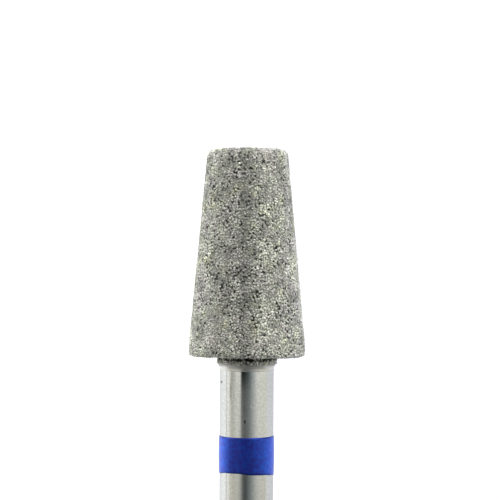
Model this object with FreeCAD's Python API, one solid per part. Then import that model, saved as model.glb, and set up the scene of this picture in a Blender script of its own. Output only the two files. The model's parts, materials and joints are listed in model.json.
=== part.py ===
import FreeCAD
import Part
import math
import os

# A tapered diamond bur for a straight dental or nail handpiece. A steel blank is turned in one
# piece, its head carries one layer of diamond grit in plated nickel, and a lacquer ring in a
# shallow groove of the shank codes the grit.
# The bur is drawn upright, along +Z from the shank's free end to the tip, and then laid on its
# side on the plane z = 0, with the tip towards +X, as it comes to rest on a table.

# Every size is in millimetres.

# Shank
shank_diameter = 2.35
shank_length = 35.5
end_chamfer = 0.3

# Head, measured over the coating
head_length = 9.0
base_diameter = 5.06
land_height = 0.5
tip_diameter = 3.5
base_round = 0.24
tip_round = 0.36

# Diamond coating, and how it ends on the neck: a collar of grit, a slope of bare nickel, a thin hem
coating_thickness = 0.14
collar_length = 0.26
runout_length = 0.2
hem_length = 0.12
hem_thickness = 0.02

# Colour ring: its edges are flush with the shank, and it rises to a crown at mid height
ring_distance = 3.4
ring_height = 1.6
groove_depth = 0.16
ring_shoulder = 0.08
shoulder_proud = 0.02
crown_proud = 0.034
shoulder_round = 0.12
crown_round = 10.0

UP = FreeCAD.Vector(0, 0, 1)
SIDEWAYS = FreeCAD.Vector(0, 1, 0)
ORIGIN = FreeCAD.Vector(0, 0, 0)
SMALLEST_EDGE = 0.001

# Heights above the shank's free end
base_plane = shank_length
tip_plane = base_plane + head_length
land_top = base_plane + land_height
collar_end = base_plane - collar_length
runout_end = collar_end - runout_length
hem_end = runout_end - hem_length
ring_top = base_plane - ring_distance
ring_bottom = ring_top - ring_height
ring_middle = (ring_top + ring_bottom) / 2

# Radii
shank_radius = shank_diameter / 2
base_radius = base_diameter / 2
tip_radius = tip_diameter / 2
collar_radius = shank_radius + coating_thickness
hem_radius = shank_radius + hem_thickness
groove_radius = shank_radius - groove_depth
shoulder_radius = shank_radius + shoulder_proud
crown_radius = shank_radius + crown_proud

# The cone's lean, and the steel core of the head, one coating thickness inside the cone
cone_lean = math.atan((base_radius - tip_radius) / (tip_plane - land_top))
core_base_plane = base_plane + coating_thickness
core_base_radius = base_radius - coating_thickness
core_land_top = land_top - coating_thickness * math.tan(cone_lean / 2)
core_tip_plane = tip_plane - coating_thickness
core_tip_radius = core_base_radius - (core_tip_plane - core_land_top) * math.tan(cone_lean)


def at(radius, height):
    """A point of the section, in the XZ half plane."""
    return FreeCAD.Vector(radius, 0, height)


def bend(before, corner, after, radius):
    """Start, middle and end of the arc that rounds a corner, or no middle where it stays sharp."""
    if radius <= 0:
        return corner, None, corner
    back = before - corner
    ahead = after - corner
    half_angle = back.getAngle(ahead) / 2
    reach = min(radius / math.tan(half_angle), back.Length / 2, ahead.Length / 2)
    fitted_radius = reach * math.tan(half_angle)
    start = corner + back.normalize() * reach
    end = corner + ahead.normalize() * reach
    inward = (back + ahead).normalize()
    middle = corner + inward * (fitted_radius / math.sin(half_angle) - fitted_radius)
    return start, middle, end


def section(corners):
    """A closed face through (radius, height, rounding) corners."""
    points = [at(radius, height) for radius, height, rounding in corners]
    following = points[1:] + points[:1]
    bends = []
    for place, (radius, height, rounding) in enumerate(corners):
        bends.append(bend(points[place - 1], points[place], following[place], rounding))
    edges = []
    for (start, middle, end), (next_start, _, _) in zip(bends, bends[1:] + bends[:1]):
        if middle:
            edges.append(Part.Arc(start, middle, end).toShape())
        if end.distanceToPoint(next_start) > SMALLEST_EDGE:
            edges.append(Part.LineSegment(end, next_start).toShape())
    return Part.Face(Part.Wire(edges))


def turned(corners):
    """A solid of revolution about the bur's axis."""
    return section(corners).revolve(ORIGIN, UP, 360)


def steel_blank():
    """Shank, ring groove and head core, turned from one bar; the core's tip edge is rounded."""
    return turned([
        (0, 0, 0),
        (shank_radius - end_chamfer, 0, 0),
        (shank_radius, end_chamfer, 0),
        (shank_radius, ring_bottom, 0),
        (groove_radius, ring_bottom, 0),
        (groove_radius, ring_top, 0),
        (shank_radius, ring_top, 0),
        (shank_radius, core_base_plane, 0),
        (core_base_radius, core_base_plane, 0),
        (core_base_radius, core_land_top, 0),
        (core_tip_radius, core_tip_plane, tip_round - coating_thickness),
        (0, core_tip_plane, 0),
    ])


def diamond_coating(blank):
    """Grit layer round the whole head, down over the neck as a collar, a slope and a hem."""
    envelope = turned([
        (0, hem_end, 0),
        (hem_radius, hem_end, 0),
        (hem_radius, runout_end, 0),
        (collar_radius, collar_end, 0),
        (collar_radius, base_plane, 0),
        (base_radius, base_plane, base_round),
        (base_radius, land_top, 0),
        (tip_radius, tip_plane, tip_round),
        (0, tip_plane, 0),
    ])
    return envelope.cut(blank)


def colour_ring():
    """Lacquer that fills the groove and is crowned between two rounded shoulders."""
    return turned([
        (groove_radius, ring_bottom, 0),
        (shank_radius, ring_bottom, 0),
        (shoulder_radius, ring_bottom + ring_shoulder, shoulder_round),
        (crown_radius, ring_middle, crown_round),
        (shoulder_radius, ring_top - ring_shoulder, shoulder_round),
        (shank_radius, ring_top, 0),
        (groove_radius, ring_top, 0),
    ])


def laid_down(shapes):
    """Turns the upright bur to lie on the rim of its base and the end of its shank."""
    run = base_plane + base_round - end_chamfer
    rise = base_radius - base_round - shank_radius
    lean = math.atan2(rise, run) + math.asin(base_round / math.hypot(rise, run))
    lying = FreeCAD.Rotation(SIDEWAYS, 90 - math.degrees(lean))
    for shape in shapes:
        shape.Placement = FreeCAD.Placement(ORIGIN, lying)
    box = Part.makeCompound(shapes).optimalBoundingBox(False, False)
    centre_on_plane = FreeCAD.Vector(-box.Center.x, -box.Center.y, -box.ZMin)
    for shape in shapes:
        shape.Placement = FreeCAD.Placement(centre_on_plane, lying)


blank = steel_blank()
pieces = {
    "steel_blank": blank,
    "diamond_coating": diamond_coating(blank),
    "colour_ring": colour_ring(),
}
laid_down(list(pieces.values()))

os.makedirs("parts", exist_ok=True)
for name, shape in pieces.items():
    shape.exportStep(f"parts/{name}.step")
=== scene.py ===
import json
import math
import random

import bmesh
import bpy
from mathutils import Matrix, Vector, kdtree, noise


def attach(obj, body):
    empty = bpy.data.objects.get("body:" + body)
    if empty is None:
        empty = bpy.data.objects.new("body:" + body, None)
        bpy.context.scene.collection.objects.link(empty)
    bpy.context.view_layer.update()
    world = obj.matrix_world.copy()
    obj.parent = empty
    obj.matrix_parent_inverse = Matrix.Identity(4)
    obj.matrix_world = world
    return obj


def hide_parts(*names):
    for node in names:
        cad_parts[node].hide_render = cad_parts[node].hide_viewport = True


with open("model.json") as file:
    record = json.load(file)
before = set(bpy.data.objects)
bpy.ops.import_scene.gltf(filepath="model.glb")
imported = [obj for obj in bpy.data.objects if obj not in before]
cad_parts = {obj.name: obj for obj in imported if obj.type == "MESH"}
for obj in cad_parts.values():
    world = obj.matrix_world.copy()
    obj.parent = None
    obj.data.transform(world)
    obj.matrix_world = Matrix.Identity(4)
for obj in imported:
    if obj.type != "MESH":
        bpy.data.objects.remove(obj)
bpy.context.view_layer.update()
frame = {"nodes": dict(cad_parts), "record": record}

# A tapered diamond bur on a straight steel shank, with a blue ring that codes its medium grit.
# It lies on its side with the tip towards +X, and the camera looks down on it.
#
# The pieces are modelled upright and in millimetres, as the bur stands in a handpiece: height 0
# is the shank's free end, and +X of the upright bur faces the camera. Each finished mesh is then
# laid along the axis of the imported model, in metres.

random.seed(4)

MM = 0.001

# The bur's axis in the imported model, and the ways that the camera sees it
shank_mount = frame["record"]["mounts"][0]
grip_middle = Vector(shank_mount["pos_m"])
toward_tip = -Vector(shank_mount["axis"]).normalized()
to_the_right = Vector((0, -1, 0))
toward_camera = to_the_right.cross(toward_tip)


def corners_of(node):
    """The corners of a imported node, from the middle of the grip."""
    return [corner.co - grip_middle for corner in frame["nodes"][node].data.vertices]


def along_axis(node):
    """Lowest and highest point of a node along the bur's axis, in mm from the middle of the grip."""
    reaches = [corner.dot(toward_tip) / MM for corner in corners_of(node)]
    return min(reaches), max(reaches)


def girth(node):
    """Largest distance of a node from the bur's axis, in mm."""
    return max(corner.cross(toward_tip).length for corner in corners_of(node)) / MM


# Heights above the shank's free end and radii, in mm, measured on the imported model
free_end = along_axis("steel_blank")[0]
axis_start = grip_middle + toward_tip * free_end * MM
ring_bottom, ring_top = (reach - free_end for reach in along_axis("colour_ring"))
hem_end, tip_plane = (reach - free_end for reach in along_axis("diamond_coating"))
shank_radius = shank_mount["dims"]["r_mm"]
base_radius = girth("diamond_coating")
crown_radius = girth("colour_ring")

# Sizes of the head and shank, in mm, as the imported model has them. The rounding of the base alone is
# drawn a little tighter, since the grains round it further.
head_length = 9.0
land_height = 0.5
tip_radius = 1.75
base_round = 0.2
tip_round = 0.36
coating_thickness = 0.14
collar_length = 0.26
runout_length = 0.2
hem_thickness = 0.02
end_chamfer = 0.3
groove_depth = 0.16
ring_shoulder = 0.08
shoulder_proud = 0.02

base_plane = tip_plane - head_length
land_top = base_plane + land_height
collar_end = base_plane - collar_length
runout_end = collar_end - runout_length
cone_lean = math.atan((base_radius - tip_radius) / (tip_plane - land_top))
groove_radius = shank_radius - groove_depth
collar_radius = shank_radius + coating_thickness
hem_radius = shank_radius + hem_thickness

# Grit, in mm: the grains and fines of a medium grit, and how far the nickel lies below their tips
grain_sizes = (0.11, 0.18)
grain_spacing = 0.092
grain_corners = 10
most_grains = 12300
fine_sizes = (0.05, 0.09)
fines_spacing = 0.06
fine_corners = 8
most_fines = 16400
fines_sunk = (0.01, 0.03)
bond_depth = 0.042
tip_reach = (-0.008, 0.02)
tries_per_grain = 14
# Each grain has one of these many shapes, drawn one mm across with its corners that far apart
crystal_shapes = 16
corner_spacing = 0.3

# How the grains' tints scatter from one to the next, and drift over patches of that many mm
tint_scatter = 0.7
tint_drift = 0.8
tint_patch = 0.13

# The nickel's unevenness between the grains, and the size of its bumps, in mm
bond_roughness = 0.016
bond_bumps = 0.06

# The grit's lower edge on the neck: how far it wanders, in mm, how quickly, and its mean share
ragged_edge = 0.1
ragged_turns = 6
ragged_mean = 0.3

# Pits, in mm: short chains of lost grains, commoner in some patches than in others
pit_spacing = 0.13
pit_radius = 0.024
pit_steps = (0.035, 0.055)
pit_chains = (0, 0, 1, 1, 2)
most_pits = 6000
tries_per_pit = 5
patches_per_mm = 1.7
patch_weight = 0.7
chance_weight = 0.7
pit_level = 0.3
# The size of a pit drifts by these shares, over patches of that many mm
pit_drift = (0.6, 0.3)
pit_jitter = (0.5, 0.07)
# A pit's painted shade fades out at that many times its size
pit_shade = 2.2
# Fewer pits, and so less of their painted shade, near the base and on the right, and fewest along the tip's
# edge, which is left lighter as painted light
calm_foot = 0.12
calm_foot_height = 1.6
calm_side = 0.15
calm_sector = (15, 110)
lit_tip_edge_height = 0.32
lit_tip_edge_share = 0.7
# Painted shade under the head's overhang: a band of dark pits just under the head, in mm below its base
painted_shade_pits = 290
under_head = (0.02, 0.13)

# The head's underside is a little untrue, and higher on the camera's side: the lift and the height over
# which it dies out, in mm, its turn from the camera, and the clearance that it keeps from the neck
untrue_underside = 0.07
untrue_height = 0.5
untrue_turn = 0.14
untrue_clearance = 0.3

# Wear clouds the grit between these brightnesses, for these values of its noise
wear_brightness = (0.45, 1.5)
wear_contrast = (0.36, 0.64)
# Painted light on the neck: the grit there is painted paler from that far below the head's base, in mm, and
# the grit just under the head is left darker, as painted shade
neck_lit_start = (0.1, 0.2)
neck_lit_brightness = 1.6

# Painted shade and light on the grit round the head: a darker streak of painted shade that faces the
# camera, and a slight cool painted light on the far sides: (degrees from the camera, sRGB hex)
painted_shade_streak = [
    (-180, "e8e8f0"), (-68, "fcfcff"), (-50, "fdfdff"), (-42, "e1e1e1"), (-30, "d6d6d6"), (-20, "cdcdcd"),
    (-13, "dedede"), (-7, "b6b6b6"), (-2, "a7a7a7"), (5, "bcbcbc"), (12, "eeeeee"), (20, "fbfbfb"),
    (32, "efefef"), (50, "f7f7fb"), (80, "ededf6"), (180, "e8e8f0"),
]

# The lacquer's lower edge: how much lower it runs than the groove, in mm, by degrees from the camera
lacquer_run = [
    (-180, 0.05), (-80, 0.03), (-45, -0.05), (-18, -0.06), (14, 0.0), (40, 0.02), (64, 0.07), (90, 0.13),
    (130, 0.1), (180, 0.05),
]
# The run begins that far below the ring's upper edge, in mm
run_start = 0.3
# The lacquer covers that much of the shank below the groove, and its skin and edges stand so far
# inside or proud of the shank, in mm
lacquer_lip = 0.09
lip_inset = 0.003
lower_edge_proud = 0.004
upper_edge_proud = 0.002
shoulder_round = 0.1
crown_round = 10
ring_spacing = 0.04
# It has pooled along both edges, in a band that wide in mm
pool_width = 0.1
# Painted shade round the ring: the lacquer's colour is darkened on the side that faces the camera
# and lightened towards the far sides: (degrees from the camera, sRGB hex)
ring_painted_shade = [
    (-180, "f0f2f4"), (-72, "ffffff"), (-57, "f0f4f6"), (-46, "ccd2da"), (-37, "a8a4be"), (-27, "9890b2"),
    (-14, "aca2c6"), (-4, "ccbce0"), (5, "c4b6d6"), (13, "b0a6c4"), (23, "aeaac6"), (33, "bcc8da"),
    (46, "d2e6f2"), (60, "eaf8ff"), (180, "f0f2f4"),
]

# Small marks on the steel: (degrees from the camera, height, half width, half height in mm, sRGB hex).
# Each fades between these shares of its half size.
shank_marks = [
    (-3.4, 32.79, 0.035, 0.09, "2e2e2c"),
    (-68, 34.43, 0.12, 0.05, "55544e"),
    (-35.1, 34.12, 0.018, 0.45, "6a6963"),
    (9.6, 33.44, 0.035, 0.04, "e8e8e2"),
]
mark_edge = (1.2, 0.6)

# The steel's haze: it sets in between these distances below the coating's slope, and from above the
# ring to below it that share is wiped off again, in mm
haze_start = (0.1, 0.95)
wiped_above_ring = 0.8
wiped_below_ring = 0.2
wiped_share = 0.6
# Where the haze is, the steel reflects less like bare metal, by its blots
haze_metal = (0.74, 0.9)
blot_contrast = (0.3, 0.7)

# Patterns of the materials, in spots per mm. The steel's grinding lines lie 0.025 mm apart and run
# 0.5 mm; real ones lie about 0.01 mm apart and are drawn coarser, so that the picture can hold them.
# Handling blots the steel over 0.11 mm, and the nickel grows in nodules 0.14 mm across, drawn coarser
# than real ones of a few hundredths. Hues and wear drift over 0.6 mm of grit, and the lacquer clouds
# over 0.15 mm.
steel_lines = (2, 2, 40)
steel_blots = 9.0
nickel_nodules = 7.0
grit_hues = 1.7
grit_wear = 1.8
lacquer_clouds = 6.5

# Where the turned skins are divided, in mm, the steps of a full turn and of a rounding, and how close
# corners are merged, in mm
fine_spacing = 0.055
fine_turn = 288
plain_turn = 192
round_segments = 6
merge_distance = 0.0005
# Edges of the steel that turn by more than this, in degrees, stay sharp
smooth_angle = 30


def laid_down(name, shape, material):
    """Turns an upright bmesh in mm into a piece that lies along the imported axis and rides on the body."""
    upright = Matrix((toward_camera, to_the_right, toward_tip)).transposed().to_4x4()
    mesh = bpy.data.meshes.new(name)
    shape.to_mesh(mesh)
    shape.free()
    mesh.transform(Matrix.Translation(axis_start) @ upright @ Matrix.Scale(MM, 4))
    mesh.materials.append(material)
    piece = bpy.data.objects.new(name, mesh)
    bpy.context.scene.collection.objects.link(piece)
    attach(piece, "root")
    return piece


def give(piece, name, values):
    """Gives each corner of a piece a value that its material reads."""
    piece.data.attributes.new(name, "FLOAT", "POINT").data.foreach_set("value", values)


def turned(corners, steps, spacing=None):
    """An upright bmesh turned from (radius, height, rounding) corners, its outline divided if asked."""
    shape = bmesh.new()
    outline = [shape.verts.new((radius, 0, height)) for radius, height, rounding in corners]
    for first, second in zip(outline, outline[1:]):
        shape.edges.new((first, second))
    places = [corner.co.copy() for corner in outline]
    for number, (radius, height, rounding) in enumerate(corners):
        if rounding <= 0:
            continue
        back = places[number - 1] - places[number]
        ahead = places[number + 1] - places[number]
        reach = rounding / math.tan(back.angle(ahead) / 2)
        bmesh.ops.bevel(shape, geom=[outline[number]], affect="VERTICES", offset=reach,
                        segments=round_segments, profile=0.5, material=-1)
    if spacing:
        for edge in shape.edges[:]:
            cuts = int(edge.calc_length() / spacing)
            if cuts:
                bmesh.ops.subdivide_edges(shape, edges=[edge], cuts=cuts)
    bmesh.ops.spin(shape, geom=shape.verts[:] + shape.edges[:], cent=(0, 0, 0), axis=(0, 0, 1),
                   dvec=(0, 0, 0), angle=2 * math.pi, steps=steps, use_merge=True, use_duplicate=False)
    bmesh.ops.remove_doubles(shape, verts=shape.verts[:], dist=merge_distance)
    bmesh.ops.recalc_face_normals(shape, faces=shape.faces[:])
    return shape


def core_corners(thickness, bottom_round, top_round):
    """Corners of the head from its underside to the tip, that thickness inside the grain tips."""
    low_corner = land_top - thickness * math.tan(cone_lean / 2)
    high_radius = base_radius - thickness - (tip_plane - thickness - low_corner) * math.tan(cone_lean)
    return [
        (base_radius - thickness, base_plane + thickness, bottom_round),
        (base_radius - thickness, low_corner, 0),
        (high_radius, tip_plane - thickness, top_round),
        (0, tip_plane - thickness, 0),
    ]


def bond_corners():
    """Corners of the nickel from the end of its slope on the neck to the tip, below the grain tips."""
    return [
        (hem_radius, runout_end, 0),
        (collar_radius - bond_depth, collar_end, 0),
        (collar_radius - bond_depth, base_plane + bond_depth, 0),
    ] + core_corners(bond_depth, base_round - bond_depth, tip_round - bond_depth)


def any_way():
    """A random way."""
    return Vector((random.gauss(0, 1), random.gauss(0, 1), random.gauss(0, 1)))


# Materials

def colour(code):
    """The linear colour of an sRGB hex value."""
    parts = [int(code[place:place + 2], 16) / 255 for place in (0, 2, 4)]
    return [part / 12.92 if part <= 0.04045 else ((part + 0.055) / 1.055) ** 2.4 for part in parts] + [1]


def grey(brightness):
    """The linear colour of a plain grey."""
    return [brightness] * 3 + [1]


def add(tree, kind, settings=None, inputs=None):
    """Adds a node with its settings, and sets or links its inputs."""
    made = tree.nodes.new(kind)
    for name, value in (settings or {}).items():
        setattr(made, name, value)
    for name, value in (inputs or {}).items():
        if isinstance(value, bpy.types.NodeSocket):
            tree.links.new(value, made.inputs[name])
        else:
            made.inputs[name].default_value = value
    return made


def ranged(tree, value, start, end, low=0, high=1, ease="LINEAR"):
    """Maps the range from start to end onto the one from low to high, and stops there."""
    made = add(tree, "ShaderNodeMapRange", {"interpolation_type": ease}, {
        "Value": value, "From Min": start, "From Max": end, "To Min": low, "To Max": high})
    return made.outputs["Result"]


def mixed(tree, share, first, second):
    """A number between two."""
    return add(tree, "ShaderNodeMix", None, {0: share, 2: first, 3: second}).outputs[0]


def blended(tree, share, first, second, way="MIX"):
    """A colour between two, or the first one tinted by the second."""
    settings = {"data_type": "RGBA", "blend_type": way}
    return add(tree, "ShaderNodeMix", settings, {0: share, 6: first, 7: second}).outputs[2]


def tinted(tree, first, second):
    """One colour multiplied by another."""
    return blended(tree, 1.0, first, second, "MULTIPLY")


def brightened(tree, tone, times):
    """A colour with its brightness multiplied."""
    return add(tree, "ShaderNodeHueSaturation", None, {"Color": tone, "Value": times}).outputs["Color"]


def reach_along(tree, vector, way):
    """How far a vector reaches along a fixed one."""
    reach = add(tree, "ShaderNodeVectorMath", {"operation": "DOT_PRODUCT"}, {0: vector, 1: way})
    return reach.outputs["Value"]


def clouds(tree, place, per_mm, detail, roughness=0.5):
    """Noise over the surface, with that many spots per mm."""
    return add(tree, "ShaderNodeTexNoise", None, {
        "Vector": place, "Scale": per_mm, "Detail": detail, "Roughness": roughness}).outputs["Fac"]


def split(tree, place):
    """The parts of a point: towards the camera, to its right, and up the bur."""
    return add(tree, "ShaderNodeSeparateXYZ", None, {"Vector": place}).outputs


def given(tree, name):
    """The value that each corner of the piece was given under that name."""
    return add(tree, "ShaderNodeAttribute", {"attribute_name": name}).outputs["Fac"]


def new_material(name):
    """An empty node material, and its tree."""
    material = bpy.data.materials.new(name)
    material.use_nodes = True
    material.node_tree.nodes.clear()
    return material, material.node_tree


def surfaced(material, inputs):
    """Gives a material its surface."""
    tree = material.node_tree
    surface = add(tree, "ShaderNodeBsdfPrincipled", None, inputs)
    add(tree, "ShaderNodeOutputMaterial", None, {"Surface": surface.outputs["BSDF"]})
    return material


def upright_place(tree):
    """A point of the surface in the upright bur's millimetres, whatever way the bur lies."""
    place = add(tree, "ShaderNodeTexCoord").outputs["Object"]
    away = add(tree, "ShaderNodeVectorMath", {"operation": "SUBTRACT"}, {0: place, 1: axis_start})
    measured = {}
    for number, way in enumerate((toward_camera, to_the_right, toward_tip)):
        measured[number] = reach_along(tree, away.outputs["Vector"], way / MM)
    return add(tree, "ShaderNodeCombineXYZ", None, measured).outputs["Vector"]


def ramp(tree, factor, stops):
    """A colour ramp over (position, sRGB hex) stops."""
    made = add(tree, "ShaderNodeValToRGB", None, {"Fac": factor})
    points = made.color_ramp.elements
    while len(points) < len(stops):
        points.new(0.5)
    for point, (position, code) in zip(points, stops):
        point.position = position
        point.color = colour(code)
    return made.outputs["Color"]


def by_angle(tree, ahead, aside, stops):
    """A colour ramp round the bur's axis over (degrees from the camera, to its right, sRGB hex) stops."""
    angle = add(tree, "ShaderNodeMath", {"operation": "ARCTAN2"}, {0: aside, 1: ahead}).outputs["Value"]
    turn = ranged(tree, angle, -math.pi, math.pi)
    return ramp(tree, turn, [((degrees + 180) / 360, code) for degrees, code in stops])


def mark(tree, place, degrees, height, half_width, half_height):
    """1 inside a small spot on the shank, and 0 outside it."""
    side = math.radians(degrees)
    middle = (shank_radius * math.cos(side), shank_radius * math.sin(side), height)
    seen = add(tree, "ShaderNodeMapping", {"vector_type": "TEXTURE"}, {
        "Vector": place, "Location": middle, "Rotation": (0, 0, side),
        "Scale": (1, half_width, half_height)})
    away = add(tree, "ShaderNodeVectorMath", {"operation": "LENGTH"}, {0: seen.outputs["Vector"]})
    return ranged(tree, away.outputs["Value"], *mark_edge)


def ground_steel():
    """Stainless steel, ground and polished on the lathe: a sharp mirror across the shank with fine lines
    round it. A thin haze from handling veils it between the neck and the ring, so dark reflections turn
    grey there. It is clean next to the head, and wiped a little cleaner again from the ring down."""
    material, tree = new_material("ground_stainless_steel")
    place = upright_place(tree)
    height = split(tree, place)["Z"]
    around = add(tree, "ShaderNodeMapping", None, {"Vector": place, "Scale": steel_lines})
    lines = clouds(tree, around.outputs["Vector"], 1.0, 3.0)
    blots = clouds(tree, place, steel_blots, 4.0, 0.7)
    bump = add(tree, "ShaderNodeBump", None, {"Height": lines, "Strength": 0.2, "Distance": 0.001 * MM})
    near_head = ranged(tree, height, runout_end - haze_start[1], runout_end - haze_start[0])
    first, full = ring_top + wiped_above_ring, ring_bottom - wiped_below_ring
    wiped = ranged(tree, height, first, full, 0, wiped_share)
    cleaner = add(tree, "ShaderNodeMath", {"operation": "MAXIMUM"}, {0: near_head, 1: wiped})
    clean = cleaner.outputs["Value"]
    veil = ranged(tree, blots, *blot_contrast, *haze_metal)
    tone = ramp(tree, blots, [(0.25, "b4b4ae"), (0.5, "bfc0bc"), (0.75, "cacbc8")])
    for degrees, level, half_width, half_height, code in shank_marks:
        spot = mark(tree, place, degrees, level, half_width, half_height)
        tone = blended(tree, spot, tone, colour(code))
    return surfaced(material, {
        "Base Color": tone, "Metallic": mixed(tree, clean, veil, 1.0),
        "Roughness": mixed(tree, clean, 0.09, 0.05), "Specular Tint": colour("e2e2e2"),
        "Normal": bump.outputs["Normal"]})


def plated_nickel():
    """Electroplated nickel, never polished: a pale satin hem and run-out on the neck, and a dull grey
    skin between the crystals, painted near-black in the pits as painted shade."""
    material, tree = new_material("plated_nickel")
    place = upright_place(tree)
    grit_share = ranged(tree, split(tree, place)["Z"], runout_end + 0.02, collar_end)
    between = ramp(tree, clouds(tree, place, nickel_nodules, 3.0), [(0.35, "6a6a65"), (0.65, "989891")])
    # Painted shade: the nickel is painted near-black in and round the pits
    deep = blended(tree, given(tree, "painted_pit_shade"), between, colour("20201e"))
    return surfaced(material, {
        "Base Color": blended(tree, grit_share, colour("c8c7c0"), deep),
        "Metallic": mixed(tree, grit_share, 0.7, 1.0), "Roughness": mixed(tree, grit_share, 0.24, 0.6)})


def diamond_grit():
    """Synthetic diamond crystals: pale grey with yellowish and lilac ones among them, glinting on their
    flat faces. Their wear differs from place to place, which clouds the head in soft patches. Those on
    the neck are painted paler, as painted light, and a streak facing the camera is painted darker, as
    painted shade."""
    material, tree = new_material("diamond_grit")
    place = upright_place(tree)
    tone = ramp(tree, given(tree, "tint"), [
        (0, "b0b0a6"), (0.2, "bcbdb3"), (0.5, "c7c8be"), (0.85, "d3d4c9"), (1, "dcddd3")])
    hue = ramp(tree, clouds(tree, place, grit_hues, 2.0), [
        (0.36, "f5eff4"), (0.44, "f4f1ee"), (0.51, "eef1ea"), (0.59, "f2f4e7"), (0.67, "f9f7e0")])
    wear = ranged(tree, clouds(tree, place, grit_wear, 4.0, 0.75), *wear_contrast, *wear_brightness)
    worn = brightened(tree, tinted(tree, tone, hue), wear)
    ahead, aside, height = split(tree, place)
    # Painted shade and light: the grit is painted darker where it faces the camera and cooler on its far
    # sides
    painted_shade_streaked = tinted(tree, worn, by_angle(tree, ahead, aside, painted_shade_streak))
    # Painted light: the grit on the neck is painted paler than the grit just under the head
    first, full = (base_plane - below for below in neck_lit_start)
    neck_lit = ranged(tree, height, first, full, 1.0, neck_lit_brightness)
    return surfaced(material, {
        "Base Color": brightened(tree, painted_shade_streaked, neck_lit), "Roughness": 0.55, "IOR": 2.42,
        "Specular IOR Level": 0.31})


def blue_lacquer():
    """Clear blue stoving lacquer over turned steel: the metal below sends the light back deep blue and
    blurred, and the lacquer turns navy along both edges, where it has pooled."""
    material, tree = new_material("blue_lacquer")
    place = upright_place(tree)
    body = ramp(tree, clouds(tree, place, lacquer_clouds, 4.0, 0.75), [
        (0.4, "3b49b0"), (0.5, "3457c2"), (0.6, "2f65d2")])
    sides = split(tree, place)
    # Painted shade: the ring is darker on the side that faces the camera and paler at its far sides
    body = tinted(tree, body, by_angle(tree, sides["X"], sides["Y"], ring_painted_shade))
    return surfaced(material, {
        "Base Color": blended(tree, given(tree, "pooled"), body, colour("16246c")), "Metallic": 0.92,
        "Roughness": 0.42, "Coat Weight": 0.15, "Coat Roughness": 0.25})


steel = ground_steel()
nickel = plated_nickel()
diamond = diamond_grit()
lacquer = blue_lacquer()


# Pieces

def turned_blank():
    """The shank, its ring groove and the head's core, in one piece. The groove starts above the lip
    of lacquer that has run over its lower edge."""
    shape = turned([
        (0, 0, 0),
        (shank_radius - end_chamfer, 0, 0.04),
        (shank_radius, end_chamfer, 0.04),
        (shank_radius, ring_bottom + lacquer_lip, 0),
        (groove_radius, ring_bottom + lacquer_lip, 0),
        (groove_radius, ring_top, 0),
        (shank_radius, ring_top, 0),
        (shank_radius, base_plane + coating_thickness, 0),
    ] + core_corners(coating_thickness, 0, tip_round - coating_thickness), plain_turn)
    piece = laid_down("turned_blank", shape, steel)
    piece.data.shade_smooth()
    piece.data.set_sharp_from_angle(angle=math.radians(smooth_angle))
    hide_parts("steel_blank")


def lift(place):
    """How much higher the head's underside lies at a point than the true plane, on the camera's side."""
    if place.z > base_plane + untrue_height or place.xy.length < shank_radius + untrue_clearance:
        return 0
    front = max(0, math.cos(math.atan2(place.y, place.x) + untrue_turn)) ** 2
    return untrue_underside * front * (1 - max(0, place.z - base_plane) / untrue_height)


def nickel_bond():
    """The nickel that holds the grit, uneven between the grains, with its smooth hem on the neck."""
    hem = [(shank_radius, hem_end, 0), (hem_radius, hem_end, 0)]
    shape = turned(hem + bond_corners(), fine_turn, fine_spacing)
    painted_pit_shade = []
    for corner in shape.verts:
        grit_share = min(1, max(0, (corner.co.z - runout_end) / runout_length))
        # How much painted shade darkens the nickel near the pits, and none on the hem
        away = pits.find(corner.co)[2] / pit_reach(corner.co)
        painted_pit_shade.append(grit_share * min(1, max(0, pit_shade - away)))
        corner.co += corner.normal * grit_share * bond_roughness * noise.noise(corner.co / bond_bumps)
        corner.co.z += lift(corner.co)
    piece = laid_down("nickel_bond", shape, nickel)
    give(piece, "painted_pit_shade", painted_pit_shade)
    piece.data.shade_smooth()
    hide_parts("diamond_coating")


def crystals(corners):
    """Irregular diamond crystals one millimetre across, as small meshes with that many corners."""
    made = []
    for number in range(crystal_shapes):
        shape = bmesh.new()
        while len(shape.verts) < corners:
            corner = any_way().normalized() / 2
            if all((corner - other.co).length > corner_spacing for other in shape.verts):
                shape.verts.new(corner)
        bmesh.ops.convex_hull(shape, input=shape.verts[:])
        mesh = bpy.data.meshes.new("crystal")
        shape.to_mesh(mesh)
        shape.free()
        made.append(mesh)
    return made


def pit_reach(place):
    """How far a pit reaches there, so that pits differ in size and are not round."""
    drift = pit_drift[0] * noise.noise(place / pit_drift[1])
    jitter = pit_jitter[0] * noise.noise(place / pit_jitter[1])
    return pit_radius * (1 + drift + jitter)


def rounded(corners):
    """Places along the outline of (radius, height, rounding) corners, in the order of the corners."""
    places = [Vector((radius, 0, height)) for radius, height, rounding in corners]
    along = []
    for number, (radius, height, rounding) in enumerate(corners):
        if rounding <= 0:
            along.append(places[number])
            continue
        back = (places[number - 1] - places[number]).normalized()
        ahead = (places[number + 1] - places[number]).normalized()
        half = back.angle(ahead) / 2
        middle = places[number] + (back + ahead).normalized() * rounding / math.sin(half)
        first = places[number] + back * rounding / math.tan(half) - middle
        last = places[number] + ahead * rounding / math.tan(half) - middle
        for step in range(round_segments + 1):
            way = first.slerp(last, step / round_segments).normalized()
            along.append(middle + way * rounding)
    return along


def on_band(start, end):
    """A random (place, normal) on the band that an edge of the outline sweeps round the axis."""
    share = random.random()
    side = 2 * math.pi * random.random()
    radius = math.sqrt(start.x ** 2 + share * (end.x ** 2 - start.x ** 2))
    place = start.lerp(end, share * (start.x + end.x) / (start.x + radius))
    edge = (end - start).normalized()
    round_axis = Matrix.Rotation(side, 3, "Z")
    return round_axis @ place, round_axis @ Vector((edge.z, 0, -edge.x))


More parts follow.
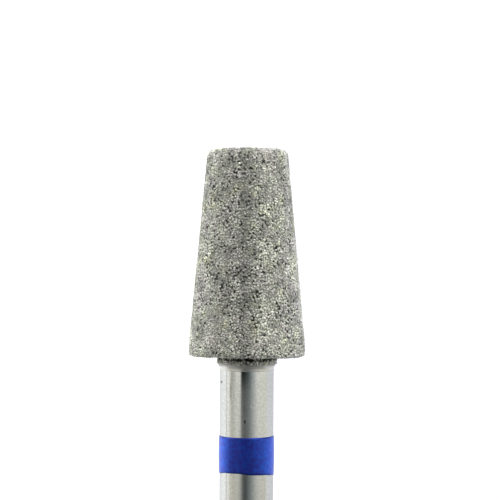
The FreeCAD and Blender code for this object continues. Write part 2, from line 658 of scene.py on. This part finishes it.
def scattered(spacing, tries, pits=None):
    """Random (place, normal) pairs on the nickel that keep a spacing from each other and out of the
    pits. They are drawn on the outline's bands, whose order is the same in each run."""
    along = rounded(bond_corners())
    bands = list(zip(along, along[1:]))
    sizes = [(start.x + end.x) * (end - start).length for start, end in bands]
    cells = {}
    for start, end in random.choices(bands, weights=sizes, k=tries):
        place, normal = on_band(start, end)
        if pits and pits.find(place)[2] < pit_reach(place) + spacing / 3:
            continue
        cell = [math.floor(part / spacing) for part in place]
        near = (
            other
            for i in (-1, 0, 1) for j in (-1, 0, 1) for k in (-1, 0, 1)
            for other in cells.get((cell[0] + i, cell[1] + j, cell[2] + k), ())
        )
        if all((place - other).length > spacing for other in near):
            cells.setdefault(tuple(cell), []).append(place)
            yield place, normal


def grit_bottom(place):
    """Height of the ragged lower edge of the grit on the neck, at that side of the bur."""
    side = Vector((place.x, place.y, 0)).normalized()
    return collar_end + ragged_edge * (noise.noise(side * ragged_turns) - ragged_mean)


def lost_grains():
    """The places of the pits where grains have not taken, ready to be searched."""
    places = []
    for place, normal in scattered(pit_spacing, most_pits * tries_per_pit):
        # Pits are left out along the tip's edge, which keeps it lighter as painted light
        lit_tip_edge = place.z > tip_plane - lit_tip_edge_height and random.random() < lit_tip_edge_share
        calm = calm_foot if place.z < land_top + calm_foot_height else 0
        if calm_sector[0] < math.degrees(math.atan2(place.y, place.x)) < calm_sector[1]:
            calm = calm_side
        patch = patch_weight * noise.noise(place * patches_per_mm)
        if patch + chance_weight * random.random() > pit_level + calm and not lit_tip_edge:
            places.append(place)
            way = any_way()
            way = (way - normal * way.dot(normal)).normalized()
            for step in range(random.choice(pit_chains)):
                place = place + way * random.uniform(*pit_steps)
                places.append(place)
        if len(places) >= most_pits:
            break
    # Dark pits added in a band just under the head, as painted shade below its overhang
    for number in range(painted_shade_pits):
        side = 2 * math.pi * random.random()
        radius = collar_radius - bond_depth
        height = base_plane - random.uniform(*under_head)
        places.append(Vector((radius * math.cos(side), radius * math.sin(side), height)))
    found = kdtree.KDTree(len(places))
    for number, place in enumerate(places):
        found.insert(place, number)
    found.balance()
    return found


def grit(name, corners, sizes, spacing, most, pits):
    """One layer of crystals over the head and its collar, each sunk into the nickel to its tip height."""
    shapes = crystals(corners)
    grains = bmesh.new()
    tints = []
    for place, normal in scattered(spacing, most * tries_per_grain, pits):
        if place.z < grit_bottom(place):
            continue
        size = random.uniform(*sizes)
        height = bond_depth + random.uniform(*tip_reach) - size / 2
        if size < grain_sizes[0]:
            height -= random.uniform(*fines_sunk)
        tilt = any_way()
        turn = Matrix.Rotation(random.uniform(0, 2 * math.pi), 4, tilt)
        seat = place + normal * height + Vector((0, 0, lift(place)))
        move = Matrix.Translation(seat) @ turn @ Matrix.Scale(size, 4)
        shape = random.choice(shapes)
        shape.transform(move)
        grains.from_mesh(shape)
        shape.transform(move.inverted())
        tint = 0.5 + tint_scatter * (random.random() - 0.5) + tint_drift * noise.noise(place / tint_patch)
        tints += [min(1, max(0, tint))] * corners
        if len(tints) >= most * corners:
            break
    piece = laid_down(name, grains, diamond)
    give(piece, "tint", tints)


def run_at(side):
    """How much lower than the groove the lacquer runs on that side, in degrees from the camera."""
    for (before, low), (after, high) in zip(lacquer_run, lacquer_run[1:]):
        if before <= side <= after:
            share = (side - before) / (after - before)
            return low + (high - low) * share * share * (3 - 2 * share)


def lacquer_ring():
    """The blue band: flush at its edges and crowned between them. Its upper edge is true, and its
    lower one wanders a little round the shank."""
    lip = shank_radius - lip_inset
    shape = turned([
        (groove_radius, ring_bottom + lacquer_lip, 0),
        (lip, ring_bottom + lacquer_lip, 0),
        (lip, ring_bottom, 0),
        (shank_radius + lower_edge_proud, ring_bottom, 0),
        (shank_radius + shoulder_proud, ring_bottom + ring_shoulder, shoulder_round),
        (crown_radius, (ring_bottom + ring_top) / 2, crown_round),
        (shank_radius + shoulder_proud, ring_top - ring_shoulder, shoulder_round),
        (shank_radius + upper_edge_proud, ring_top, 0),
        (groove_radius, ring_top, 0),
        (groove_radius, ring_bottom + lacquer_lip, 0),
    ], plain_turn, ring_spacing)
    run_top = ring_top - run_start
    pooled = []
    for corner in shape.verts:
        place = corner.co
        edge = min(place.z - ring_bottom, ring_top - place.z)
        pooled.append(max(0, 1 - edge / pool_width))
        if place.z < ring_bottom + lacquer_lip - 0.001 or place.xy.length > shank_radius:
            upward = max(0, (run_top - place.z) / (run_top - ring_bottom))
            side = math.degrees(math.atan2(place.y, place.x))
            place.z -= run_at(side) * upward ** 2
    piece = laid_down("lacquer_ring", shape, lacquer)
    give(piece, "pooled", pooled)
    piece.data.shade_smooth()
    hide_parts("colour_ring")


turned_blank()
pits = lost_grains()
nickel_bond()
grit("diamond_grains", grain_corners, grain_sizes, grain_spacing, most_grains, pits)
grit("diamond_fines", fine_corners, fine_sizes, fines_spacing, most_fines, pits)
lacquer_ring()


# Studio

# Light of the light table across the bur, slightly cool close to it: (mm to its left, sRGB hex)
table_light = [(-25, "a8a8a8"), (-13, "b2b5bf"), (-2, "bec0ca"), (2, "f3f5fa"), (12, "ebedf2")]
table_reach = 30
table_brightness = 1.2
# It fades round a point below the camera, between these distances in mm, to a plain pale surface
table_middle = 17.8
table_fade = (16.5, 34)
pale = 0.45
# Half the table's width, in m
table_size = 1.5


def floor():
    """A wide, plain light table, lit more strongly on the left of the bur than on its right."""
    shape = bmesh.new()
    bmesh.ops.create_grid(shape, x_segments=1, y_segments=1, size=table_size)
    mesh = bpy.data.meshes.new("light_table")
    shape.to_mesh(mesh)
    shape.free()
    material, tree = new_material("white_acrylic")
    place = add(tree, "ShaderNodeTexCoord").outputs["Object"]
    across = ranged(tree, split(tree, place)["Y"], -table_reach * MM, table_reach * MM)
    stops = [((left + table_reach) / (2 * table_reach), code) for left, code in table_light]
    lit = tinted(tree, ramp(tree, across, stops), grey(table_brightness))
    middle = (table_middle * MM, 0, 0)
    away = add(tree, "ShaderNodeVectorMath", {"operation": "DISTANCE"}, {0: place, 1: middle})
    near, far = table_fade
    faded = ranged(tree, away.outputs["Value"], near * MM, far * MM, ease="SMOOTHSTEP")
    mesh.materials.append(surfaced(material, {
        "Base Color": colour("bcbcbc"), "Roughness": 0.6, "Emission Strength": 1.0,
        "Emission Color": blended(tree, faded, lit, grey(pale))}))
    table = bpy.data.objects.new("light_table", mesh)
    bpy.context.scene.collection.objects.link(table)


# Brightness of the light tent round the bur's axis: (degrees from the camera, to its right, sRGB hex)
tent = [
    (-180, "ffffff"), (-89, "ffffff"), (-80, "e6e6de"), (-73, "c8c8c2"), (-67, "a4a49f"),
    (-58, "b2b2ae"), (-43, "d7d7d3"), (-32, "dadad7"), (-26, "c2c2c0"), (-22, "464646"), (-18, "101212"),
    (-14, "121414"), (-9, "222526"), (0, "3a4042"), (8, "4c5355"), (16, "6c7476"), (25, "969c9e"),
    (34, "b4b6b5"), (42, "cecfcc"), (52, "dadad4"), (80, "d8d8d1"), (110, "d8d8d4"), (180, "ffffff"),
]
# The same further along the shank, where the tent's panels stand a little differently
tent_low = [
    (-180, "ffffff"), (-84, "ffffff"), (-72, "dcdacf"), (-56, "cac8be"), (-41, "cbcbc1"), (-30, "babbb5"),
    (-23, "9c9e9c"), (-17, "707270"), (-11, "484c4d"), (-5, "343a3d"), (2, "444c4f"), (8, "5c6366"),
    (21, "848b8d"), (34, "acafae"), (47, "c8c9c4"), (61, "d4d3cb"), (76, "d4d3ca"), (110, "d4d4ce"),
    (180, "ffffff"),
]
# Beyond the tent's ends the room is dimmer, and darkest on the side where the camera stands
room = [
    (-180, "ffffff"), (-50, "f0f0f0"), (-12, "848484"), (14, "848484"), (50, "f0f0f0"), (180, "ffffff"),
]
tent_brightness = 1.62
far_brightness = tent_brightness * 0.8
# The room's brightness towards the shank's end and towards the tip's
room_brightness = (0.52, 0.2)
backdrop_brightness = 1.0
# Where the tent changes, as how far a direction leans along the bur: it goes over to tent_low, grows
# dimmer, and ends, and the room changes from one end to the other
low_lean = (-0.078, -0.145)
dimmer_lean = (0.085, 0.16)
end_lean = (0.17, 0.4)
room_lean = (-0.2, 0.2)
# Beyond the tip stand a large soft lamp on the right and a weaker one on the left, as (direction,
# brightness). They fade out by how well a direction agrees with theirs.
lamps = [
    (toward_tip * 0.8 + to_the_right * 0.4 + toward_camera * 0.45, 4.8),
    (toward_tip * 0.65 - to_the_right * 0.8 + toward_camera * 0.05, 4.0),
]
lamp_edge = (0.78, 0.94)


def light_tent():
    """A pale light tent with a dark gap that the camera looks through, a dim room beyond its ends with
    two lamps, and a pale backdrop that only the camera sees."""
    world = bpy.data.worlds.new("light_tent")
    bpy.context.scene.world = world
    world.use_nodes = True
    tree = world.node_tree
    tree.nodes.clear()

    def glowing(tone, strength):
        light = add(tree, "ShaderNodeBackground", None, {"Color": tone, "Strength": strength})
        return light.outputs["Background"]

    def either(share, first, second):
        return add(tree, "ShaderNodeMixShader", None, {0: share, 1: first, 2: second}).outputs["Shader"]

    direction = add(tree, "ShaderNodeTexCoord").outputs["Generated"]
    ways = (toward_camera, to_the_right, toward_tip)
    ahead, aside, along = (reach_along(tree, direction, way) for way in ways)
    lean = add(tree, "ShaderNodeMath", {"operation": "ABSOLUTE"}, {0: along}).outputs["Value"]
    low = ranged(tree, along, *low_lean)
    tone = blended(tree, low, by_angle(tree, ahead, aside, tent), by_angle(tree, ahead, aside, tent_low))
    panels = glowing(tone, ranged(tree, lean, *dimmer_lean, tent_brightness, far_brightness))
    room_strength = ranged(tree, along, *room_lean, *room_brightness)
    beyond = glowing(by_angle(tree, ahead, aside, room), room_strength)
    light = either(ranged(tree, lean, *end_lean, ease="SMOOTHSTEP"), panels, beyond)
    for way, brightness in lamps:
        agreement = reach_along(tree, direction, way.normalized())
        strength = ranged(tree, agreement, *lamp_edge, 0.0, brightness, "SMOOTHSTEP")
        lamp = glowing(colour("ffffff"), strength)
        light = add(tree, "ShaderNodeAddShader", None, {0: light, 1: lamp}).outputs["Shader"]
    seen = add(tree, "ShaderNodeLightPath").outputs["Is Camera Ray"]
    shown = either(seen, light, glowing(colour("efefef"), backdrop_brightness))
    add(tree, "ShaderNodeOutputWorld", None, {"Surface": shown})


# The camera's place, in mm on the upright bur, and its lens for a picture 500 pixels wide
camera_distance = 69.4
camera_height = 40.12
camera_aside = 0.119
camera_roll = math.radians(0.25)
lens_in_pixels = 1600
picture_width = 500
sensor = 36
clip = (5 * MM, 10)


def camera():
    """Looks straight at the bur's axis, with the tip at the top of the picture."""
    lens = bpy.data.cameras.new("camera")
    lens.sensor_width = sensor
    lens.lens = sensor * lens_in_pixels / picture_width
    lens.clip_start, lens.clip_end = clip
    eye = bpy.data.objects.new("camera", lens)
    bpy.context.scene.collection.objects.link(eye)
    along = toward_tip * (free_end + camera_height)
    across = toward_camera * camera_distance + to_the_right * camera_aside
    looking = Matrix((to_the_right, toward_tip, toward_camera)).transposed().to_4x4()
    place = Matrix.Translation(grip_middle + (along + across) * MM)
    eye.matrix_world = place @ looking @ Matrix.Rotation(camera_roll, 4, "Z")
    bpy.context.scene.camera = eye


floor()
light_tent()
camera()
bpy.context.scene.view_settings.view_transform = "Standard"
